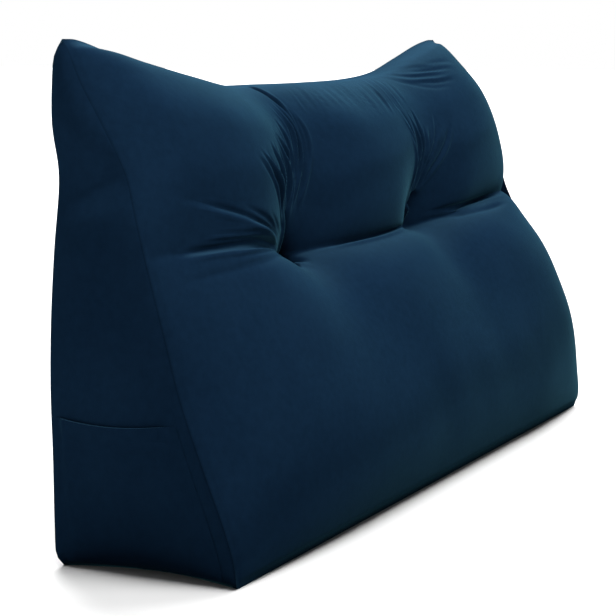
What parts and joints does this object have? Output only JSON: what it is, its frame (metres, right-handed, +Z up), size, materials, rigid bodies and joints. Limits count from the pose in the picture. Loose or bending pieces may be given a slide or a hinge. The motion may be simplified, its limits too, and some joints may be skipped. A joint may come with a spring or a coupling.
{
  "type": "bed wedge pillow",
  "caption": "Long filled wedge cushion in plain velvet with a tufted sloped front, horned ridge, upright back, flat base and a cloth pocket on one end.",
  "frame": {"origin": "centre of the flat base, on the surface that the pillow stands on", "axes": "X along the length with the pocket at the -X end, the sloped tufted front faces -Y, the upright back faces +Y, Z up"},
  "size_m": [1.0241, 0.2486, 0.5],
  "materials": {
    "cover": "short dark blue velvet pile with a soft sheen",
    "pocket_cloth": "short dark blue velvet pile with a soft sheen"
  },
  "bodies": {
    "root": {"cushion": "cover", "pocket": "pocket_cloth"}
  },
  "joints": []
}
